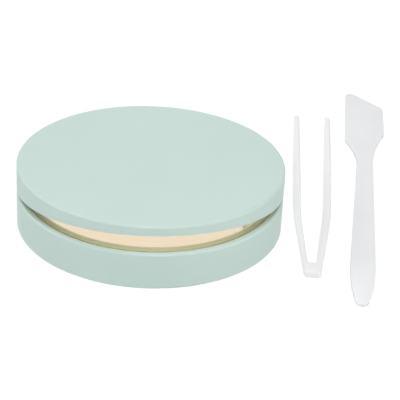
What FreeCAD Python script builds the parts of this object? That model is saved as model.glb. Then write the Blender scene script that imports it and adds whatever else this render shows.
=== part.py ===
import FreeCAD, Part
import math
import os

# A wet palette in a round hinged case, with its tweezers and its spatula beside it.
# Millimetres, +Z up. The origin is the centre of the case's underside, the front is -Y
# and the hinge is at +Y.

# Case
case_diameter = 80.0
case_height = 20.0
base_height = 11.2
lid_front = 2.95
shell_wall = 1.0
lid_top = 1.5
base_floor = 1.4
foot_width = 5.0
foot_recess = 0.6
parting_gap = 0.2
top_round = 0.75
rim_round = 0.8
rim_lip = 1.1
rim_dip = 0.5
bottom_round = 0.6
edge_round = 0.2

# Collar ring between base and lid
collar_gap = 1.4
collar_seam = 0.15
collar_fit = 0.05
collar_band = 3.0
collar_wall = 1.4
collar_deck = 1.2
collar_rim = 1.15
collar_rim_rise = 1.0
lid_headroom = 1.1

# Hinge at the back
hinge_inset = 3.4
hinge_barrel = 4.0
pin_diameter = 1.5
pin_fit = 0.02
pin_play = 0.05
knuckle_width = 14.0
ear_width = 6.0
ear_back = 1.0
knuckle_gap = 0.2
hinge_gap = 0.3
pin_recess = 0.3
lid_opening = 110.0

# Catch magnets at the front
magnet_diameter = 3.0
magnet_thickness = 1.5
magnet_wall = 0.5
magnet_gap = 0.3
magnet_fit = 0.02

# Lid liner and gasket
liner_gap = 0.3
liner_plate = 0.9
liner_rim_gap = 0.5
gasket_rim = 0.6
gasket_width = 1.4
gasket_bed = 0.8
gasket_inset = 0.5
gasket_round = 0.3
seal_gap = 0.05

# Water tray, pad and paper
tray_seat = 1.2
tray_flange = 1.0
tray_flange_drop = 0.2
tray_gap = 0.3
tray_wall = 1.0
tray_draft = 0.4
tray_corner = 1.0
tray_rib_height = 0.6
tray_rib_width = 0.8
tray_rib_count = 3
tray_lift = 0.3
pad_gap = 0.3
pad_thickness = 7.0
pad_round = 1.2
paper_margin = 0.5
paper_thickness = 0.2

# Tweezers, lying beside the case
tweezers_gap = 6.34
tweezers_y = 20.4
tweezers_turn = 7.6
tweezers_length = 108.4
tweezers_depth = 1.5
tip_depth = 1.1
bridge_length = 6.2
bridge_half_width = 2.5
bend_at = 35.9
bend_half_width = 5.9
bend_round = 14.0
swell_at = 74.4
swell_half_width = 6.4
swell_round = 1500.0
tip_half_width = 6.35
tip_round = 0.7
arm_root = 2.0
arm_middle = 2.6
arm_tip = 1.9
arm_gap = 0.2
tweezers_round = 0.45

# Spatula, lying beside the tweezers
spatula_gap = 3.84
spatula_y = 23.05
spatula_turn = 10.0
spatula_length = 146.6
handle_half_width = 3.9
handle_end = 16.0
handle_thickness = 1.8
neck_half_width = 2.85
neck_at = 86.1
blade_left = 7.05
blade_right = 6.6
blade_left_foot = 104.6
blade_right_foot = 111.1
blade_slant = 12.5
blade_lean = 0.55
blade_thickness = 1.3
blade_edge = 0.7
blade_corner = 3.2
blade_sweep = 60.0
spatula_round = 0.6

# Radii and heights that follow from the sizes above
case_radius = case_diameter / 2
inner_radius = case_radius - shell_wall
collar_radius = inner_radius - collar_gap
base_inner = collar_radius + collar_seam
lip_inner = case_radius - rim_lip
lid_foot_z = base_height + parting_gap
lid_front_z = case_height - lid_front
lid_ceiling_z = case_height - lid_top
collar_top_z = lid_ceiling_z - lid_headroom
land_z = collar_top_z - collar_rim_rise
floor_z = foot_recess + base_floor

# The lid swings back about hinge_y, hinge_z. The pocket holds the barrel and, with the lid
# open, the ears' webs; the lid's notch stops above what would strike the base.
hinge_y = case_radius - hinge_inset
hinge_z = (base_height + lid_foot_z) / 2
barrel_radius = hinge_barrel / 2
knuckle_half = knuckle_width / 2
ear_start = knuckle_half + knuckle_gap
ear_end = ear_start + ear_width
pocket_half = ear_end + hinge_gap
pocket_y = hinge_y - barrel_radius - hinge_gap
swing = math.radians(lid_opening)
web_reach = (hinge_inset - ear_back * math.cos(swing)) / math.sin(swing)
web_drop = ear_back * math.sin(swing) - web_reach * math.cos(swing)
pocket_z = hinge_z - max(barrel_radius, web_drop) - hinge_gap
lid_notch_half = math.sqrt(case_radius ** 2 - hinge_y ** 2) + hinge_gap
lid_notch_z = hinge_z + (hinge_gap + hinge_inset * (1 - math.cos(swing))) / math.sin(swing)

# From the outside in: magnet, liner, gasket, tray seat, bore
boss_radius = magnet_diameter / 2 + magnet_wall
magnet_y = -(collar_radius - collar_rim - magnet_gap - boss_radius)
liner_radius = pocket_y - liner_gap
gasket_outer = min(liner_radius, -magnet_y - boss_radius - liner_gap) - gasket_rim
gasket_inner = gasket_outer - gasket_width
liner_rim_z = land_z + liner_rim_gap
gasket_bed_z = liner_rim_z + gasket_bed
seat_radius = gasket_inner - gasket_inset
seat_z = land_z - tray_flange_drop - tray_flange
bore_radius = seat_radius - tray_seat

tray_radius = bore_radius - tray_gap
tray_bottom_z = floor_z + tray_lift
tray_floor_z = tray_bottom_z + tray_wall
pad_radius = tray_radius - tray_wall - tray_draft - pad_gap
pad_z = tray_floor_z + tray_rib_height
paper_z = pad_z + pad_thickness

tweezers_x = case_radius + tweezers_gap + swell_half_width
spatula_x = tweezers_x + swell_half_width + spatula_gap + blade_left
arm_split = bridge_length + arm_root / 2
arm_pivot = bridge_half_width + (bend_half_width - bridge_half_width) * arm_split / bend_at - arm_root / 2

origin = FreeCAD.Vector(0, 0, 0)
x_axis = FreeCAD.Vector(1, 0, 0)
z_axis = FreeCAD.Vector(0, 0, 1)


def rounded_wire(corners, place):
    """Closed wire through corners (a, b) or (a, b, radius); place turns (a, b) into a point."""
    starts, ends, middles = [], [], []
    for i, corner in enumerate(corners):
        here = FreeCAD.Vector(corner[0], corner[1], 0)
        radius = corner[2] if len(corner) > 2 else 0.0
        if radius == 0.0:
            starts.append(here)
            ends.append(here)
            middles.append(None)
            continue
        before = corners[i - 1]
        after = corners[(i + 1) % len(corners)]
        back = (FreeCAD.Vector(before[0], before[1], 0) - here).normalize()
        ahead = (FreeCAD.Vector(after[0], after[1], 0) - here).normalize()
        half = back.getAngle(ahead) / 2
        bisector = (back + ahead).normalize()
        starts.append(here + back * (radius / math.tan(half)))
        ends.append(here + ahead * (radius / math.tan(half)))
        middles.append(here + bisector * (radius / math.sin(half) - radius))
    edges = []
    for i in range(len(corners)):
        start, end = place(starts[i]), place(ends[i])
        if middles[i] is not None:
            edges.append(Part.Arc(start, place(middles[i]), end).toShape())
        following = place(starts[(i + 1) % len(corners)])
        if end.distanceToPoint(following) > 1e-6:
            edges.append(Part.LineSegment(end, following).toShape())
    return Part.Wire(edges)


def turned(corners):
    """Solid of revolution about Z from corners given as (radius, height) or with a rounding."""
    wire = rounded_wire(corners, lambda p: FreeCAD.Vector(p.x, 0, p.y))
    return Part.Face(wire).revolve(origin, z_axis, 360)


def plan_prism(corners, low, high):
    """Outline in plan, given as (x, y), raised from low to high."""
    wire = rounded_wire(corners, lambda p: FreeCAD.Vector(p.x, p.y, low))
    return Part.Face(wire).extrude(FreeCAD.Vector(0, 0, high - low))


def side_prism(corners, left, right):
    """Outline seen from the side, given as (y, z), drawn out from left to right."""
    wire = rounded_wire(corners, lambda p: FreeCAD.Vector(left, p.x, p.y))
    return Part.Face(wire).extrude(FreeCAD.Vector(right - left, 0, 0))


def block(left, right, front, back, low, high):
    """Box between six planes."""
    return Part.makeBox(right - left, back - front, high - low, FreeCAD.Vector(left, front, low))


def rod(radius, left, right, y, z):
    """Round bar along X."""
    return Part.makeCylinder(radius, right - left, FreeCAD.Vector(left, y, z), x_axis)


def disc(radius, low, high, x=0.0, y=0.0):
    """Upright cylinder."""
    return Part.makeCylinder(radius, high - low, FreeCAD.Vector(x, y, low), z_axis)


def laid(shape, x, y, turn):
    """The shape turned clockwise, seen from above, and set down at x, y."""
    shape.rotate(origin, z_axis, -turn)
    shape.translate(FreeCAD.Vector(x, y, 0))
    return shape


def long_edges(shape, least):
    """Edges of at least this length."""
    return [edge for edge in shape.Edges if edge.Length >= least]


def base_shell():
    """Lower cup: foot ring, floor, side wall dipping in to the collar, and a notch for the hinge."""
    foot_inner = case_radius - foot_width
    rim = min(rim_round, 0.8 * rim_lip)
    cup = turned([
        (0, foot_recess), (foot_inner, foot_recess), (foot_inner, 0), (case_radius, 0, bottom_round),
        (case_radius, base_height, rim), (lip_inner, base_height), (base_inner, base_height - rim_dip),
        (base_inner, floor_z), (0, floor_z),
    ])
    return cup.cut(hinge_pocket())


def hinge_pocket():
    """Room for the barrel and the ears, open to the back and to the top."""
    return block(-pocket_half, pocket_half, pocket_y, case_diameter, pocket_z, case_height)


def collar_ring():
    """Hollow ring that stands in the base: sealing land, tray seat, hinge pocket and knuckle."""
    bore_wall = bore_radius + collar_wall
    seat_wall = seat_radius + collar_wall
    skin = collar_radius - collar_wall
    band_radius = base_inner - collar_fit
    band_z = floor_z + collar_band
    rim_inner = collar_radius - collar_rim
    ring = turned([
        (band_radius, floor_z), (band_radius, band_z), (collar_radius, band_z),
        (collar_radius, collar_top_z, edge_round), (rim_inner, collar_top_z, edge_round),
        (rim_inner, land_z), (seat_radius, land_z), (seat_radius, seat_z), (bore_radius, seat_z),
        (bore_radius, floor_z), (bore_wall, floor_z), (bore_wall, seat_z - collar_deck),
        (seat_wall, seat_z - collar_deck), (seat_wall, land_z - collar_deck),
        (skin, land_z - collar_deck), (skin, floor_z),
    ])
    # The rim stops short of the hinge, and its ends point to the middle
    gap_half = pocket_half + hinge_gap
    gap_slope = gap_half / math.sqrt(rim_inner ** 2 - gap_half ** 2)
    rim_gap = plan_prism([
        (0, 0), (gap_slope * case_diameter, case_diameter), (-gap_slope * case_diameter, case_diameter),
    ], land_z, case_height)
    # The pocket's own walls, cut to the ring's outline
    walls = block(
        -pocket_half - collar_wall, pocket_half + collar_wall, pocket_y - collar_wall, case_radius,
        pocket_z - collar_wall, land_z,
    )
    walls = walls.common(disc(collar_radius, floor_z, land_z)).cut(disc(seat_radius, floor_z, case_height))
    knuckle = rod(barrel_radius, -knuckle_half, knuckle_half, hinge_y, hinge_z)
    root = block(
        -knuckle_half, knuckle_half, pocket_y, hinge_y, hinge_z - barrel_radius, hinge_z + barrel_radius,
    )
    pin_hole = rod(pin_diameter / 2 + pin_fit, -knuckle_half, knuckle_half, hinge_y, hinge_z)
    magnet_z = land_z - magnet_thickness
    boss = disc(boss_radius, magnet_z - collar_deck, land_z, 0, magnet_y)
    magnet_hole = disc(magnet_diameter / 2 + magnet_fit, magnet_z, land_z, 0, magnet_y)
    ring = ring.cut(rim_gap).fuse([walls, boss]).cut(hinge_pocket()).fuse([knuckle, root])
    return ring.cut([pin_hole, magnet_hole]).removeSplitter()


def collar_magnet():
    """Catch magnet flush with the sealing land."""
    return disc(magnet_diameter / 2, land_z - magnet_thickness, land_z, 0, magnet_y)


def hinge_pin():
    """Steel pin through the collar's knuckle and both ears of the lid."""
    half = ear_end - pin_recess
    return rod(pin_diameter / 2, -half, half, hinge_y, hinge_z)


def water_tray():
    """Drafted tray hung by its flange in the collar, with low rings that let water under the pad."""
    flange_radius = seat_radius - tray_gap
    foot_radius = tray_radius - tray_draft
    rim_z = seat_z + tray_flange
    tray = turned([
        (0, tray_bottom_z), (foot_radius, tray_bottom_z, tray_corner + tray_wall), (tray_radius, seat_z),
        (flange_radius, seat_z), (flange_radius, rim_z, edge_round),
        (tray_radius - tray_wall, rim_z, edge_round), (foot_radius - tray_wall, tray_floor_z, tray_corner),
        (0, tray_floor_z),
    ])
    rings = []
    for i in range(tray_rib_count):
        radius = pad_radius * (i + 0.5) / tray_rib_count
        rings.append(turned([
            (radius, tray_floor_z), (radius + tray_rib_width, tray_floor_z),
            (radius + tray_rib_width, pad_z), (radius, pad_z),
        ]))
    return tray.fuse(rings).removeSplitter()


def sponge_pad():
    """Round pad on the tray's rings."""
    return turned([
        (0, pad_z), (pad_radius, pad_z, pad_round), (pad_radius, paper_z, pad_round), (0, paper_z),
    ])


def palette_paper():
    """Sheet on the pad."""
    return disc(pad_radius - pad_round - paper_margin, paper_z, paper_z + paper_thickness)


def lid_ears():
    """Two hinge ears, each a barrel with a web up to the lid, flush with the case's outline."""
    ears = []
    for side in (-1, 1):
        left, right = sorted((side * ear_start, side * ear_end))
        barrel = rod(barrel_radius, left, right, hinge_y, hinge_z)
        web = block(left, right, hinge_y - barrel_radius, hinge_y + ear_back, hinge_z, lid_ceiling_z)
        hole = rod(pin_diameter / 2 + pin_play, left, right, hinge_y, hinge_z)
        ears.append(barrel.fuse(web).cut(hole).common(disc(case_radius, 0, case_height)))
    return ears


def lid_shell():
    """Flat lid whose skirt rises to the front, with the hinge notch, ears and magnet boss."""
    cap = turned([
        (0, lid_ceiling_z), (inner_radius, lid_ceiling_z), (inner_radius, lid_foot_z),
        (case_radius, lid_foot_z), (case_radius, case_height, top_round), (0, case_height),
    ])
    # The thumb grip: everything below a plane that climbs from the sides to the front
    far_z = lid_foot_z + 2 * (lid_front_z - lid_foot_z)
    grip = side_prism(
        [(0, lid_foot_z), (-case_diameter, far_z), (-case_diameter, 0), (0, 0)],
        -case_diameter, case_diameter,
    )
    notch = block(-lid_notch_half, lid_notch_half, pocket_y, case_diameter, 0, lid_notch_z)
    boss_z = land_z + magnet_gap
    boss = disc(boss_radius, boss_z, lid_ceiling_z, 0, magnet_y)
    hole = disc(magnet_diameter / 2 + magnet_fit, boss_z, boss_z + magnet_thickness, 0, magnet_y)
    return cap.cut([grip, notch]).fuse(lid_ears() + [boss]).cut(hole).removeSplitter()


def lid_magnet():
    """Catch magnet in the lid's boss."""
    low = land_z + magnet_gap
    return disc(magnet_diameter / 2, low, low + magnet_thickness, 0, magnet_y)


def lid_liner():
    """Dished plate under the lid, with a bed for the gasket, cut round the magnet's boss."""
    plate_z = lid_ceiling_z - liner_plate
    lip = gasket_inner - gasket_inset
    plate = turned([
        (0, plate_z), (lip - gasket_inset, plate_z), (lip, liner_rim_z, edge_round),
        (gasket_inner, liner_rim_z), (gasket_inner, gasket_bed_z), (gasket_outer, gasket_bed_z),
        (gasket_outer, liner_rim_z), (liner_radius, liner_rim_z, edge_round),
        (liner_radius, lid_ceiling_z), (0, lid_ceiling_z),
    ])
    return plate.cut(disc(boss_radius + liner_gap, 0, case_height, 0, magnet_y))


def lid_gasket():
    """Silicone ring in the liner's bed, closing on the collar's land."""
    low = land_z + seal_gap
    return turned([
        (gasket_inner, low, gasket_round), (gasket_outer, low, gasket_round),
        (gasket_outer, gasket_bed_z), (gasket_inner, gasket_bed_z),
    ])


def tweezers_outer(along):
    """Half width over the arms, between the bridge's end and the bend."""
    return bridge_half_width + (bend_half_width - bridge_half_width) * along / bend_at


def tweezers_bar(outline):
    """The outline, measured from the bridge's end, at full depth to the bend and thinner to the tips."""
    middle = tweezers_length / 2
    wide = bend_half_width + swell_half_width
    plan = plan_prism([(c[0], c[1] - middle) + c[2:] for c in outline], 0, tweezers_depth)
    side = side_prism([
        (-middle, 0), (middle, 0), (middle, tip_depth), (bend_at - middle, tweezers_depth, bend_round),
        (-middle, tweezers_depth),
    ], -wide, wide)
    bar = plan.common(side).Solids[0]
    return bar.makeFillet(tweezers_round, long_edges(bar, 2 * arm_middle))


def tweezers_bridge():
    """Closed end of the tweezers with the two stubs that the arms grow from."""
    top = arm_split - arm_gap / 2
    outer = tweezers_outer(top)
    crotch = tweezers_outer(bridge_length) - arm_root
    bridge = tweezers_bar([
        (-bridge_half_width, 0), (bridge_half_width, 0), (outer, top), (outer - arm_root, top),
        (crotch, bridge_length), (-crotch, bridge_length), (arm_root - outer, top), (-outer, top),
    ])
    return laid(bridge, tweezers_x, tweezers_y, tweezers_turn)


def tweezers_arm(side):
    """An arm: slants out to the bend, then runs on, slightly bowed, to a narrow tip."""
    foot = arm_split + arm_gap / 2
    outer = tweezers_outer(foot)
    outline = [
        (outer - arm_root, foot), (outer, foot), (bend_half_width, bend_at, bend_round),
        (swell_half_width, swell_at, swell_round), (tip_half_width, tweezers_length, tip_round),
        (tip_half_width - arm_tip, tweezers_length, tip_round),
        (swell_half_width - arm_middle, swell_at, swell_round),
        (bend_half_width - arm_middle, bend_at, bend_round - arm_middle),
    ]
    arm = tweezers_bar([(side * c[0], c[1]) + c[2:] for c in outline])
    return laid(arm, tweezers_x, tweezers_y, tweezers_turn)


def tweezers_left_arm():
    return tweezers_arm(-1)


def tweezers_right_arm():
    return tweezers_arm(1)


def spatula_plan():
    """Outline of the spatula: elliptical handle end, slim neck, flared and slanted blade."""
    middle = spatula_length / 2

    def at(x, y):
        return FreeCAD.Vector(x, y - middle, 0)

    def line(a, b):
        return Part.LineSegment(at(*a), at(*b)).toShape()

    def flare(side, half, foot):
        # Arc that leaves the neck straight and reaches the blade's lower corner
        run, rise = foot - neck_at, half - neck_half_width
        radius = (run ** 2 + rise ** 2) / (2 * rise)
        turn = math.asin(run / radius) / 2
        waist = (side * (neck_half_width + radius * (1 - math.cos(turn))), neck_at + radius * math.sin(turn))
        return Part.Arc(at(side * neck_half_width, neck_at), at(*waist), at(side * half, foot)).toShape()

    ellipse = Part.Ellipse(at(0, 0), at(handle_half_width, handle_end), at(0, handle_end))
    edges = [Part.ArcOfEllipse(ellipse, -math.pi / 2, math.pi / 2).toShape()]
    for side in (-1, 1):
        edges.append(line((side * handle_half_width, handle_end), (side * neck_half_width, neck_at)))
    high = (-blade_left - blade_lean, spatula_length)
    low = (blade_right - blade_lean, spatula_length - blade_slant)
    edges += [
        flare(-1, blade_left, blade_left_foot), line((-blade_left, blade_left_foot), high), line(high, low),
        line(low, (blade_right, blade_right_foot)), flare(1, blade_right, blade_right_foot),
    ]
    return Part.Face(Part.Wire(Part.sortEdges(edges)[0]))


def spatula():
    """Flat spatula: thick rounded handle, blade thinning to its slanted edge."""
    middle = spatula_length / 2
    wide = blade_left + blade_right
    body = spatula_plan().extrude(FreeCAD.Vector(0, 0, handle_thickness))
    blade_y = (neck_at + blade_left_foot) / 2 - middle
    posts = [e for e in body.Edges if e.BoundBox.ZLength > 0 and e.BoundBox.YMin > blade_y]
    body = body.makeFillet(blade_corner, posts)
    rims = [e for e in body.Edges if e.BoundBox.ZLength < edge_round]
    body = body.makeFillet(min(spatula_round, 0.45 * handle_thickness), rims)
    side = side_prism([
        (-middle, 0), (middle, 0), (middle, blade_edge),
        (blade_left_foot - middle, blade_thickness, blade_sweep),
        (neck_at - middle, handle_thickness, blade_sweep), (-middle, handle_thickness),
    ], -wide, wide)
    return laid(body.common(side), spatula_x, spatula_y, spatula_turn)


pieces = [
    base_shell, collar_ring, collar_magnet, hinge_pin, water_tray, sponge_pad, palette_paper,
    lid_shell, lid_magnet, lid_liner, lid_gasket,
    tweezers_bridge, tweezers_left_arm, tweezers_right_arm, spatula,
]

os.makedirs("parts", exist_ok=True)
for piece in pieces:
    solids = piece().Solids
    print(piece.__name__, len(solids), solids[0].isValid(), round(solids[0].Volume, 2))
    solids[0].exportStep("parts/" + piece.__name__ + ".step")
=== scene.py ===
import bpy
import bmesh
import math
from mathutils import Matrix, Vector


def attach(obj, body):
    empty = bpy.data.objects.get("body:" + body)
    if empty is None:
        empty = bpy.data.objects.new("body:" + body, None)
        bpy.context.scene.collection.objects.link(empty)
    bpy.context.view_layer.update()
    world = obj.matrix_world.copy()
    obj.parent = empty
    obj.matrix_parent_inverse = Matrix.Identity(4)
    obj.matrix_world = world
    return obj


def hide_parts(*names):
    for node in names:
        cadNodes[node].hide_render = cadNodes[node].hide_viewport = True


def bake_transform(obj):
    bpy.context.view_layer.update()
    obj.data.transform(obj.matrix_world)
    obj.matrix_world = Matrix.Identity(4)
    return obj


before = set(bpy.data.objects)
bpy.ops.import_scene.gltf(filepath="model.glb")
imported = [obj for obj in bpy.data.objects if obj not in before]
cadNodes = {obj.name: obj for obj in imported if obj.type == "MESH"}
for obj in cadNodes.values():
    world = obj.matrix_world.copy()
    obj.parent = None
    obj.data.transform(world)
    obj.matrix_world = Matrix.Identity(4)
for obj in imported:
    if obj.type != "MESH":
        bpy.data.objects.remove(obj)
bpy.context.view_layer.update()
mm = 0.001
scene = bpy.context.scene
scene.view_settings.view_transform = "Standard"
print("frame loaded:", len(cadNodes), "CAD nodes")


# camera, worked out from the rims of the case in the photograph
cameraSetup = {
    "place": (-0.02037, -0.38873, 0.21611),
    "aim": (0.01442, -0.00731, 0.011),
    "roll": 3.05,                 # degrees, the picture leans a little
    "sensor": 36, "lens": 131.5,  # mm
    "clip": (0.01, 20),           # nearest and farthest seen, in metres
}


def placeCamera(setup):
    bpy.ops.object.camera_add()
    camera = bpy.context.object
    camera.name = "photoCamera"
    place, aim = Vector(setup["place"]), Vector(setup["aim"])
    look = (aim - place).to_track_quat("-Z", "Y").to_matrix().to_4x4()
    roll = Matrix.Rotation(math.radians(setup["roll"]), 4, "Z")
    camera.matrix_world = Matrix.Translation(place) @ look @ roll
    camera.data.sensor_width = setup["sensor"]
    camera.data.lens = setup["lens"]
    camera.data.clip_start, camera.data.clip_end = setup["clip"]
    scene.camera = camera


placeCamera(cameraSetup)
print("camera placed")


# node helpers

def addNode(tree, kind, **inputs):
    # a new node with these inputs set, _ standing for a blank in an input's name
    node = tree.nodes.new(kind)
    for name, value in inputs.items():
        node.inputs[name.replace("_", " ")].default_value = value
    return node


def seenDirectly(tree):
    # 1 for what the camera sees straight on, in a mirror or through glass, else 0
    path = addNode(tree, "ShaderNodeLightPath")
    last = path.outputs["Is Camera Ray"]
    for other in ("Is Glossy Ray", "Is Transmission Ray"):
        most = addNode(tree, "ShaderNodeMath")
        most.operation = "MAXIMUM"
        tree.links.new(last, most.inputs[0])
        tree.links.new(path.outputs[other], most.inputs[1])
        last = most.outputs[0]
    return last


# studio: a ring of five round softboxes in a white tent, the front one strongest
studioSetup = {
    "tentLight": 0.08,       # light of the tent itself on the object
    "lamps": (               # name, place, watts
        ("frontLamp", (0.0, -0.62, 0.78), 5.8),
        ("leftLamp", (-0.90, -0.18, 0.45), 2.4),
        ("rightLamp", (0.85, -0.20, 0.50), 3.2),
        ("backLamp", (0.0, 0.60, 0.80), 1.5),
        ("backLeftLamp", (-0.65, 0.45, 0.55), 1.7),
    ),
    "lampSize": 0.6,
    "floorSize": 6.0,
    "floorDrop": 0.00004,    # how far the floor lies below the object's underside
    "floorTone": (0.85, 0.85, 0.85, 1),
    "floorGlow": 0.8,        # share of the seen floor that is plain white, the rest takes shadow
    "floorWhite": 1.1,       # strength of that share, which with the lit rest comes to white
}
white = (1, 1, 1, 1)


def hangTent(setup):
    world = bpy.data.worlds.new("whiteTent")
    scene.world = world
    world.use_nodes = True
    tree = world.node_tree
    sky = tree.nodes["Background"]
    sky.inputs["Color"].default_value = white
    strength = addNode(tree, "ShaderNodeMapRange", To_Min=setup["tentLight"], To_Max=1.0)
    tree.links.new(seenDirectly(tree), strength.inputs["Value"])
    tree.links.new(strength.outputs[0], sky.inputs["Strength"])


def placeLamps(setup):
    for name, place, watts in setup["lamps"]:
        bpy.ops.object.light_add(type="AREA", location=place)
        lamp = bpy.context.object
        lamp.name = name
        lamp.rotation_euler = (-Vector(place)).to_track_quat("-Z", "Y").to_euler()
        lamp.data.shape = "DISK"
        lamp.data.size = setup["lampSize"]
        lamp.data.energy = watts


def freeze():
    bpy.ops.object.transform_apply(location=True, rotation=True, scale=True)


def layFloor(setup):
    bpy.ops.mesh.primitive_plane_add(size=setup["floorSize"], location=(0, 0, -setup["floorDrop"]))
    floor = bpy.context.object
    floor.name = "paleFloor"
    freeze()
    finish = bpy.data.materials.new("floorPaper")
    finish.use_nodes = True
    tree = finish.node_tree
    tree.nodes.clear()
    matt = addNode(tree, "ShaderNodeBsdfDiffuse", Color=setup["floorTone"])
    glow = addNode(tree, "ShaderNodeEmission", Color=white, Strength=setup["floorWhite"])
    share = addNode(tree, "ShaderNodeMath")
    share.operation = "MULTIPLY"
    share.inputs[1].default_value = setup["floorGlow"]
    mix = addNode(tree, "ShaderNodeMixShader")
    out = addNode(tree, "ShaderNodeOutputMaterial")
    tree.links.new(seenDirectly(tree), share.inputs[0])
    tree.links.new(share.outputs[0], mix.inputs["Fac"])
    tree.links.new(matt.outputs[0], mix.inputs[1])
    tree.links.new(glow.outputs[0], mix.inputs[2])
    tree.links.new(mix.outputs[0], out.inputs["Surface"])
    floor.data.materials.append(finish)


hangTent(studioSetup)
placeLamps(studioSetup)
layFloor(studioSetup)
print("studio built")


# finishes: sizes in metres
noiseDetail = {"drift": 4.0, "skin": 2.0, "streak": 6.0}
noiseSpan = (0.3, 0.7)     # the part of the noise's range that carries the change
plasticIndex = 1.46        # how strongly plastic bends light


def startFinish(name):
    finish = bpy.data.materials.new(name)
    finish.use_nodes = True
    tree = finish.node_tree
    return finish, tree, tree.nodes["Principled BSDF"]


def objectNoise(tree, size, detail, stretch=(1, 1, 1)):
    # noise whose blotches are about this many metres across
    where = addNode(tree, "ShaderNodeTexCoord")
    mapping = addNode(tree, "ShaderNodeMapping", Scale=stretch)
    noise = addNode(tree, "ShaderNodeTexNoise", Scale=1.0 / size, Detail=detail)
    tree.links.new(where.outputs["Object"], mapping.inputs["Vector"])
    tree.links.new(mapping.outputs[0], noise.inputs["Vector"])
    return noise.outputs["Fac"]


def blendTones(tree, factor, low, high, span=noiseSpan):
    ramp = addNode(tree, "ShaderNodeValToRGB")
    first, last = ramp.color_ramp.elements
    first.position, last.position = span
    first.color, last.color = (*low, 1), (*high, 1)
    tree.links.new(factor, ramp.inputs["Fac"])
    return ramp.outputs["Color"]


def spread(tree, factor, low, high):
    fit = addNode(tree, "ShaderNodeMapRange", From_Min=noiseSpan[0], From_Max=noiseSpan[1],
                  To_Min=low, To_Max=high)
    tree.links.new(factor, fit.inputs["Value"])
    return fit.outputs[0]


def roughen(tree, shader, height, strength, depth):
    bump = addNode(tree, "ShaderNodeBump", Strength=strength, Distance=depth)
    tree.links.new(height, bump.inputs["Height"])
    tree.links.new(bump.outputs["Normal"], shader.inputs["Normal"])


def mouldedFinish(name, s):
    # moulded plastic: a slow drift of tone, a fine skin and uneven gloss
    finish, tree, shader = startFinish(name)
    drift = objectNoise(tree, s["driftSize"], noiseDetail["drift"])
    tones = blendTones(tree, drift, s["toneLow"], s["toneHigh"])
    tree.links.new(tones, shader.inputs["Base Color"])
    skin = objectNoise(tree, s["skinSize"], noiseDetail["skin"])
    rough = spread(tree, skin, s["roughLow"], s["roughHigh"])
    tree.links.new(rough, shader.inputs["Roughness"])
    roughen(tree, shader, skin, s["skinStrength"], s["skinDepth"])
    shader.inputs["IOR"].default_value = plasticIndex
    if "scatter" in s:
        shader.inputs["Subsurface Weight"].default_value = s["scatter"]
        shader.inputs["Subsurface Radius"].default_value = s["scatterRadius"]
        shader.inputs["Subsurface Scale"].default_value = s["scatterScale"]
    return finish


def metalFinish(name, s):
    # polished or drawn metal: streaks along the chosen way
    finish, tree, shader = startFinish(name)
    streak = objectNoise(tree, s["streakSize"], noiseDetail["streak"], s["streakStretch"])
    tones = blendTones(tree, streak, s["toneLow"], s["toneHigh"])
    tree.links.new(tones, shader.inputs["Base Color"])
    rough = spread(tree, streak, s["roughLow"], s["roughHigh"])
    tree.links.new(rough, shader.inputs["Roughness"])
    shader.inputs["Metallic"].default_value = 1.0
    roughen(tree, shader, streak, s["streakStrength"], s["streakDepth"])
    return finish


def foamFinish(name, s):
    # open foam: round cells, with painted shade darkening the pores, in a slow drift of tone
    finish, tree, shader = startFinish(name)
    where = addNode(tree, "ShaderNodeTexCoord")
    cells = addNode(tree, "ShaderNodeTexVoronoi", Scale=1.0 / s["cellSize"])
    tree.links.new(where.outputs["Object"], cells.inputs["Vector"])
    drift = objectNoise(tree, s["driftSize"], noiseDetail["drift"])
    level = addNode(tree, "ShaderNodeMath")
    level.operation = "ADD"
    tree.links.new(cells.outputs["Distance"], level.inputs[0])
    tree.links.new(spread(tree, drift, -s["drift"], s["drift"]), level.inputs[1])
    # light at the cell centres, dark toneLow towards the pores: the dark pores are painted shade
    tones = blendTones(tree, level.outputs[0], s["toneHigh"], s["toneLow"], s["poreShadeSpan"])
    tree.links.new(tones, shader.inputs["Base Color"])
    roughen(tree, shader, level.outputs[0], -s["poreStrength"], s["poreDepth"])
    shader.inputs["Roughness"].default_value = s["rough"]
    return finish


caseFinish = {
    "toneLow": (0.545, 0.692, 0.638), "toneHigh": (0.565, 0.708, 0.658), "driftSize": 0.03,
    "roughLow": 0.40, "roughHigh": 0.50,
    "skinSize": 0.00035, "skinStrength": 0.05, "skinDepth": 0.00004,
}
collarFinish = {
    "toneLow": (0.82, 0.685, 0.50), "toneHigh": (0.85, 0.715, 0.535),
    "roughLow": 0.06, "roughHigh": 0.11,
    "streakSize": 0.004, "streakStretch": (1, 1, 6), "streakStrength": 0.02, "streakDepth": 0.00002,
}
trayFinish = {
    "toneLow": (0.80, 0.80, 0.785), "toneHigh": (0.84, 0.84, 0.83), "driftSize": 0.02,
    "roughLow": 0.28, "roughHigh": 0.36,
    "skinSize": 0.0006, "skinStrength": 0.04, "skinDepth": 0.00003,
}
gasketFinish = {
    "toneLow": (0.72, 0.76, 0.74), "toneHigh": (0.78, 0.81, 0.79), "driftSize": 0.01,
    "roughLow": 0.45, "roughHigh": 0.6,
    "skinSize": 0.0004, "skinStrength": 0.08, "skinDepth": 0.00004,
    "scatter": 0.4, "scatterRadius": (1.0, 1.0, 1.0), "scatterScale": 0.001,
}
pinFinish = {
    "toneLow": (0.50, 0.50, 0.51), "toneHigh": (0.60, 0.60, 0.61),
    "roughLow": 0.2, "roughHigh": 0.34,
    "streakSize": 0.0006, "streakStretch": (0.1, 1, 1), "streakStrength": 0.08, "streakDepth": 0.00002,
}
magnetFinish = {
    "toneLow": (0.60, 0.59, 0.57), "toneHigh": (0.70, 0.69, 0.67),
    "roughLow": 0.14, "roughHigh": 0.28,
    "streakSize": 0.0008, "streakStretch": (1, 1, 1), "streakStrength": 0.05, "streakDepth": 0.00002,
}


def giveFinish(piece, finish):
    piece.data.materials.clear()
    piece.data.materials.append(finish)


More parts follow.
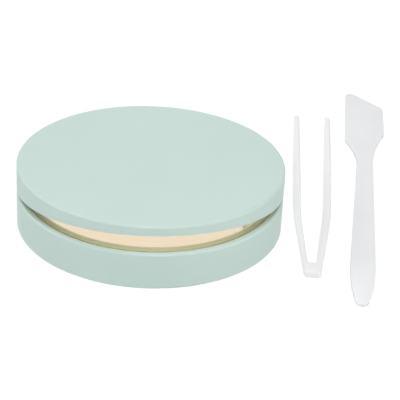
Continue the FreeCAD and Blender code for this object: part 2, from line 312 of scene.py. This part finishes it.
def dressNodes():
    finishes = (
        (mouldedFinish("mintPlastic", caseFinish), ("base_shell", "lid_shell")),
        (metalFinish("polishedGold", collarFinish), ("collar_ring",)),
        (mouldedFinish("whiteTrayPlastic", trayFinish), ("water_tray", "lid_liner")),
        (mouldedFinish("clearSilicone", gasketFinish), ("lid_gasket",)),
        (metalFinish("drawnSteel", pinFinish), ("hinge_pin",)),
        (metalFinish("nickelPlate", magnetFinish), ("lid_magnet", "collar_magnet")),
    )
    for finish, names in finishes:
        for name in names:
            giveFinish(cadNodes[name], finish)


dressNodes()
print("CAD nodes dressed")


# modelling helpers: sizes in mm, places in the tool's or the case's own frame
sameSpot = 0.002     # how far off a point may lie and still count as there
weldReach = 0.001    # points nearer than this become one
sameLevel = 0.1      # how far apart in height an edge's ends may lie and still count as level
mostly = 0.9         # how squarely a face must look a given way


def selectOnly(piece):
    bpy.ops.object.select_all(action="DESELECT")
    piece.select_set(True)
    bpy.context.view_layer.objects.active = piece


def startEditing(piece):
    selectOnly(piece)
    bpy.ops.object.mode_set(mode="EDIT")


def startBox(name, centre, size):
    bpy.ops.mesh.primitive_cube_add(size=1, location=[c * mm for c in centre], scale=[c * mm for c in size])
    piece = bpy.context.object
    piece.name = name
    freeze()
    startEditing(piece)
    return piece


def pick(piece, kind, test):
    # select the vertices, edges or faces that pass the test
    bpy.ops.mesh.select_mode(type=kind)
    bpy.ops.mesh.select_all(action="DESELECT")
    grid = bmesh.from_edit_mesh(piece.data)
    for item in {"VERT": grid.verts, "EDGE": grid.edges, "FACE": grid.faces}[kind]:
        if test(item):
            item.select_set(True)
    bmesh.update_edit_mesh(piece.data)


def middle(item):
    return sum((v.co for v in item.verts), Vector()) / len(item.verts)


def near(value, target):
    return abs(value - target * mm) < sameSpot * mm


def sharper(edge, angle):
    return len(edge.link_faces) == 2 and edge.calc_face_angle() > angle


def shift(x=0.0, y=0.0, z=0.0):
    bpy.ops.transform.translate(value=(x * mm, y * mm, z * mm))


def extrude(x, y):
    bpy.ops.mesh.extrude_region_move(TRANSFORM_OT_translate={"value": (x * mm, y * mm, 0)})


def roundEdges(reach, parts):
    bpy.ops.mesh.bevel(offset=reach * mm, segments=parts, affect="EDGES", clamp_overlap=True)


def cutAcross(place, normal):
    bpy.ops.mesh.select_all(action="SELECT")
    bpy.ops.mesh.bisect(plane_co=[c * mm for c in place], plane_no=normal)


def ringFlats(piece, s):
    # rings of faces on the round flat sides, with a fan in the middle
    def flat(f):
        return len(f.verts) == s["around"]

    for step in s["rings"]:
        pick(piece, "FACE", flat)
        bpy.ops.mesh.inset(thickness=step * mm)
    pick(piece, "FACE", flat)
    bpy.ops.mesh.poke()


def closeUp(piece, angle):
    # weld doubles, turn every face outward and leave edit mode with soft shading below the angle
    bpy.ops.mesh.select_all(action="SELECT")
    bpy.ops.mesh.remove_doubles(threshold=weldReach * mm)
    bpy.ops.mesh.normals_make_consistent(inside=False)
    bpy.ops.object.mode_set(mode="OBJECT")
    bpy.ops.object.shade_smooth_by_angle(angle=math.radians(angle))


def layDown(piece, s):
    # turn a finished tool and move it to its place on the floor
    piece.rotation_euler = (0, 0, -math.radians(s["turn"]))
    piece.location = (s["foot"][0] * mm, s["foot"][1] * mm, 0)
    freeze()


def applyAll(piece):
    selectOnly(piece)
    for modifier in list(piece.modifiers):
        bpy.ops.object.modifier_apply(modifier=modifier.name)


# tweezers: two halves that meet in the middle of the bridge, each bending at its arm's root
tweezersShape = {
    "foot": (45.57, -33.32), "turn": 7.6,      # where the bridge's end lies, and degrees clockwise
    "bridge": (2.5, 6.2, 1.5),                 # half width, length, depth
    "shoulder": 3.087, "crotch": 1.15,         # outer and inner edge where the arm starts
    "stations": (                              # along the arm: place, inner edge, outer edge, depth
        (35.9, 3.3, 5.9, 1.5), (74.4, 3.8, 6.4, 1.29), (108.4, 4.45, 6.35, 1.1),
    ),
    "leftOverhang": 0.1,                       # sides that look left: top out, per mm of depth,
    "leftUndercut": 0.16,                      # and foot in
    "rightSlope": 0.45, "frontSlope": 0.12,    # other sides: top in, per mm of depth
    "frontRound": 0.8, "tipRound": 0.4, "cornerParts": 4,
    "cornerReach": 0.4, "cornerRise": 0.5,     # corners start this near the end and are this high
    "frontFrom": 0.6,                          # share of the half width past which the front is rounded
    "bendRounds": ((6.0, 6), (12.0, 4)),       # reach and parts at the first two stations
    "edgeRound": 0.16, "edgeParts": 2,
    "edgeAngle": 0.5,                          # radians, sharper edges are rounded
    "bending": (6.2, 18.2, 12),                # along the tool: from, to, loops
    "softBelow": 32,                           # degrees, shading is smooth below this angle
}
tweezersFinish = {
    "toneLow": (0.91, 0.912, 0.906), "toneHigh": (0.935, 0.937, 0.931), "driftSize": 0.012,
    "roughLow": 0.34, "roughHigh": 0.46,
    "skinSize": 0.0005, "skinStrength": 0.05, "skinDepth": 0.00003,
}


def tweezersHalf(name, side, s):
    half, length, bridgeDepth = s["bridge"]
    piece = startBox(name, (side * half / 2, length / 2, bridgeDepth / 2), (half, length, bridgeDepth))

    def onEdge(at, edge, level=None):
        def test(v):
            here = near(v.co.y, at) and near(side * v.co.x, edge)
            return here and (level is None or near(v.co.z, level))
        return test

    pick(piece, "VERT", onEdge(length, half))
    shift(x=side * (s["shoulder"] - half))
    cutAcross((side * s["crotch"], 0, 0), (1, 0, 0))

    # the arm, drawn out from station to station
    along, inner, outer, depth = length, s["crotch"], s["shoulder"], bridgeDepth
    for toAlong, toInner, toOuter, toDepth in s["stations"]:
        pick(piece, "FACE", lambda f: f.normal.y > mostly and near(middle(f).y, along)
             and side * middle(f).x > inner * mm)
        extrude(0, toAlong - along)
        pick(piece, "VERT", onEdge(toAlong, inner))
        shift(x=side * (toInner - inner))
        pick(piece, "VERT", onEdge(toAlong, outer))
        shift(x=side * (toOuter - outer))
        pick(piece, "VERT", lambda v: near(v.co.y, toAlong) and near(v.co.z, depth))
        shift(z=toDepth - depth)
        along, inner, outer, depth = toAlong, toInner, toOuter, toDepth

    # sloping sides
    sections = ((0.0, None, half, bridgeDepth), (length, s["crotch"], s["shoulder"], bridgeDepth))
    for at, low, high, tall in sections + s["stations"]:
        for edge, looksLeft in ((low, side > 0), (high, side < 0)):
            if edge is None:
                continue
            if looksLeft:
                pick(piece, "VERT", onEdge(at, edge, 0))
                shift(x=s["leftUndercut"] * tall)
            pick(piece, "VERT", onEdge(at, edge, tall))
            shift(x=-(s["leftOverhang"] if looksLeft else s["rightSlope"]) * tall)
    pick(piece, "VERT", lambda v: near(v.co.y, 0) and near(v.co.z, bridgeDepth))
    shift(y=s["frontSlope"] * bridgeDepth)

    # upright corners, then the bend and the swell
    def upright(at, beyond):
        def test(e):
            a, b = (v.co for v in e.verts)
            here = abs(min(a.y, b.y) - at * mm) < s["cornerReach"] * mm
            rises = abs(a.z - b.z) > s["cornerRise"] * mm
            return here and rises and min(side * a.x, side * b.x) > beyond * mm
        return test

    pick(piece, "EDGE", upright(0.0, s["frontFrom"] * half))
    roundEdges(s["frontRound"], s["cornerParts"])
    pick(piece, "EDGE", upright(along, half))
    roundEdges(s["tipRound"], s["cornerParts"])
    for station, (reach, parts) in zip(s["stations"], s["bendRounds"]):
        pick(piece, "EDGE", lambda e: all(near(v.co.y, station[0]) for v in e.verts))
        roundEdges(reach, parts)
    start, end, loops = s["bending"]
    for i in range(1, loops):
        cutAcross((0, start + (end - start) * i / loops, 0), (0, 1, 0))

    # soften what is still sharp, but not where the halves meet
    pick(piece, "EDGE", lambda e: sharper(e, s["edgeAngle"])
         and not all(abs(v.co.x) < weldReach * mm for v in e.verts))
    roundEdges(s["edgeRound"], s["edgeParts"])
    closeUp(piece, s["softBelow"])
    layDown(piece, s)
    return piece


def layTweezers(s, finish):
    for name, side, arm, nodes in (
            ("tweezersLeftHalf", -1, "left_arm", ("tweezers_bridge", "tweezers_left_arm")),
            ("tweezersRightHalf", 1, "right_arm", ("tweezers_right_arm",))):
        piece = tweezersHalf(name, side, s)
        giveFinish(piece, finish)
        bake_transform(piece)
        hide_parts(*nodes)


layTweezers(tweezersShape, mouldedFinish("whiteTweezersPlastic", tweezersFinish))
print("tweezers modelled")


# spatula: a flat moulding drawn out from the round end of its handle to the slanted edge of its blade
spatulaShape = {
    "foot": (57.39, -49.16), "turn": 9.95,     # where the tool starts, and degrees clockwise
    "end": (0.5, 1.62), "shoulder": (10.4, 3.36), "handle": (20.0, 3.71),    # along, half width
    "neck": ((-2.68, 87.0), (2.63, 89.2)),                                   # left and right edge
    "bladeFoot": ((-7.0, 105.2), (6.43, 112.9)),
    "bladeTop": ((-7.6, 147.9), (5.9, 134.2)),
    "depth": 1.35,
    "thinned": ((18.0, 0.5, 0.75), (80.0, 147.9, 0.65)),   # from, to, depth left there
    "flareSteps": 8,
    "topRounds": ((5.7, 8), (1.7, 8)),         # reach and parts of each corner, left and right
    "footRounds": ((1.0, 4), (1.1, 4)),
    "endRound": (1.6, 7), "shoulderRound": (4.0, 4),
    "rimRound": (0.16, 3), "underRound": (0.12, 2),
    "rimAngle": 0.6,                           # radians, sharper edges are rounded
    "underLevel": 0.1,                         # points lower than this belong to the underside
    "softBelow": 40,                           # degrees, shading is smooth below this angle
}
spatulaFinish = {
    "toneLow": (0.826, 0.839, 0.851), "toneHigh": (0.856, 0.867, 0.879), "driftSize": 0.02,
    "roughLow": 0.32, "roughHigh": 0.42,
    "skinSize": 0.0005, "skinStrength": 0.05, "skinDepth": 0.00003,
    "scatter": 0.15, "scatterRadius": (1.0, 1.0, 1.0), "scatterScale": 0.0004,
}


def onPlace(v, place):
    return near(v.co.x, place[0]) and near(v.co.y, place[1])


def drawOut(piece, fromEnds, toEnds):
    # pull the end face on to its next left and right edge
    pick(piece, "FACE", lambda f: all(any(onPlace(v, end) for end in fromEnds) for v in f.verts))
    (fromLeft, fromRight), (toLeft, toRight) = fromEnds, toEnds
    step = (toLeft[0] - fromLeft[0], toLeft[1] - fromLeft[1])
    extrude(*step)
    moved = (fromRight[0] + step[0], fromRight[1] + step[1])
    pick(piece, "VERT", lambda v: onPlace(v, moved))
    shift(x=toRight[0] - moved[0], y=toRight[1] - moved[1])


def flareEdge(neck, foot, share):
    # a point on the arc that leaves the neck straight and ends at the blade's foot
    run, rise = foot[1] - neck[1], abs(foot[0] - neck[0])
    radius = (run ** 2 + rise ** 2) / (2 * rise)
    turn = math.asin(run / radius) * share
    way = 1 if foot[0] > neck[0] else -1
    return (neck[0] + way * radius * (1 - math.cos(turn)), neck[1] + radius * math.sin(turn))


def laySpatula(s, finish):
    (end, endHalf), (low, lowHalf), (high, highHalf) = s["end"], s["shoulder"], s["handle"]
    depth = s["depth"]
    piece = startBox("mixingSpatula", (0, (low + high) / 2, depth / 2), (2 * highHalf, high - low, depth))
    for side in (-1, 1):
        pick(piece, "VERT", lambda v: onPlace(v, (side * highHalf, low)))
        shift(x=side * (lowHalf - highHalf))

    def both(half, along):
        return ((-half, along), (half, along))

    drawOut(piece, both(lowHalf, low), both(endHalf, end))
    drawOut(piece, both(highHalf, high), s["neck"])
    last, steps = s["neck"], s["flareSteps"]
    for i in range(1, steps + 1):
        ends = tuple(flareEdge(neck, foot, i / steps) for neck, foot in zip(s["neck"], s["bladeFoot"]))
        drawOut(piece, last, ends)
        last = ends
    drawOut(piece, last, s["bladeTop"])

    # corners seen from above, then the slopes that thin the tool, then the rims
    def roundOff(places, corner):
        pick(piece, "EDGE", lambda e: any(all(onPlace(v, place) for v in e.verts) for place in places))
        roundEdges(*corner)

    for k in (0, 1):
        roundOff(s["bladeTop"][k:k + 1], s["topRounds"][k])
        roundOff(s["bladeFoot"][k:k + 1], s["footRounds"][k])
    roundOff(both(endHalf, end), s["endRound"])
    roundOff(both(lowHalf, low), s["shoulderRound"])
    for start, stop, left in s["thinned"]:
        slope = (left - depth) / (stop - start)
        bpy.ops.mesh.select_all(action="SELECT")
        bpy.ops.mesh.bisect(plane_co=(0, start * mm, depth * mm), plane_no=(0, -slope, 1),
                            use_fill=True, clear_outer=True)
    for under, rim in ((False, "rimRound"), (True, "underRound")):
        pick(piece, "EDGE", lambda e: sharper(e, s["rimAngle"])
             and all((v.co.z < s["underLevel"] * mm) == under for v in e.verts))
        roundEdges(*s[rim])
    closeUp(piece, s["softBelow"])
    layDown(piece, s)
    giveFinish(piece, finish)
    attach(piece, "spatula")
    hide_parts("spatula")


laySpatula(spatulaShape, mouldedFinish("milkyPlastic", spatulaFinish))
print("spatula modelled")


# foam pad that lies in the tray and holds the water
padShape = {
    "radius": 26.0, "low": 3.93, "high": 10.86, "around": 128,
    "round": 1.3, "roundParts": 5,
    "rings": (1.5, 2.0, 3.0, 4.0, 5.0, 5.0),    # widths, on both flat sides
    "cuts": (5.6, 7.4, 9.2),                    # heights, round the side
    "ripple": 0.12, "rippleSize": 5.0,
    "softBelow": 50,                            # degrees
}
padFinish = {
    # toneLow is the painted shade in the pores, toneHigh the foam's own colour
    "toneLow": (0.50, 0.42, 0.20), "toneHigh": (0.82, 0.74, 0.44), "driftSize": 0.009, "drift": 0.1,
    "cellSize": 0.0011, "poreShadeSpan": (0.25, 0.75), "poreStrength": 0.8, "poreDepth": 0.0004,
    "rough": 0.85,
}


def foamPad(s, finish):
    bpy.ops.mesh.primitive_cylinder_add(
        vertices=s["around"], radius=s["radius"] * mm, depth=(s["high"] - s["low"]) * mm,
        location=(0, 0, (s["high"] + s["low"]) / 2 * mm))
    pad = bpy.context.object
    pad.name = "foamPad"
    freeze()
    startEditing(pad)
    pick(pad, "EDGE", lambda e: abs(e.verts[0].co.z - e.verts[1].co.z) < sameLevel * mm)
    bpy.ops.mesh.bevel(offset=s["round"] * mm, segments=s["roundParts"], affect="EDGES")
    ringFlats(pad, s)
    for level in s["cuts"]:
        cutAcross((0, 0, level), (0, 0, 1))
    closeUp(pad, s["softBelow"])
    soft = pad.modifiers.new("ripple", "DISPLACE")
    clouds = bpy.data.textures.new("foamRipple", "CLOUDS")
    clouds.noise_scale = s["rippleSize"] * mm
    soft.texture, soft.texture_coords = clouds, "LOCAL"
    soft.strength, soft.mid_level = s["ripple"] * mm, 1.0
    applyAll(pad)
    giveFinish(pad, finish)
    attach(pad, "base")
    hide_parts("sponge_pad")
    return pad


# sheet of palette paper on the pad, a little cockled by the damp
paperShape = {
    "radius": 24.4, "level": 10.94, "thick": 0.08, "around": 128,
    "rings": (2.0, 2.5, 3.0, 3.0, 3.0, 3.0, 3.0),
    "cockle": 0.1, "cockleSize": 14.0,
    "softBelow": 60,    # degrees
}
paperFinish = {
    "toneLow": (0.78, 0.77, 0.73), "toneHigh": (0.84, 0.83, 0.79), "driftSize": 0.006,
    "roughLow": 0.55, "roughHigh": 0.75,
    "skinSize": 0.0003, "skinStrength": 0.25, "skinDepth": 0.00003,
}


def paperSheet(s, finish):
    bpy.ops.mesh.primitive_circle_add(
        vertices=s["around"], radius=s["radius"] * mm, fill_type="NGON",
        location=(0, 0, s["level"] * mm))
    paper = bpy.context.object
    paper.name = "palettePaper"
    freeze()
    startEditing(paper)
    ringFlats(paper, s)
    closeUp(paper, s["softBelow"])
    cockle = paper.modifiers.new("cockle", "DISPLACE")
    clouds = bpy.data.textures.new("paperCockle", "CLOUDS")
    clouds.noise_scale, clouds.noise_depth = s["cockleSize"] * mm, 1
    cockle.texture, cockle.texture_coords = clouds, "LOCAL"
    cockle.direction, cockle.strength, cockle.mid_level = "Z", s["cockle"] * mm, 0.5
    thick = paper.modifiers.new("thick", "SOLIDIFY")
    thick.thickness, thick.offset = s["thick"] * mm, 1.0
    applyAll(paper)
    giveFinish(paper, finish)
    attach(paper, "base")
    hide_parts("palette_paper")


foam = foamPad(padShape, foamFinish("wetFoam", padFinish))
paperSheet(paperShape, mouldedFinish("palettePaperFibre", paperFinish))
print("pad and paper laid in the tray")
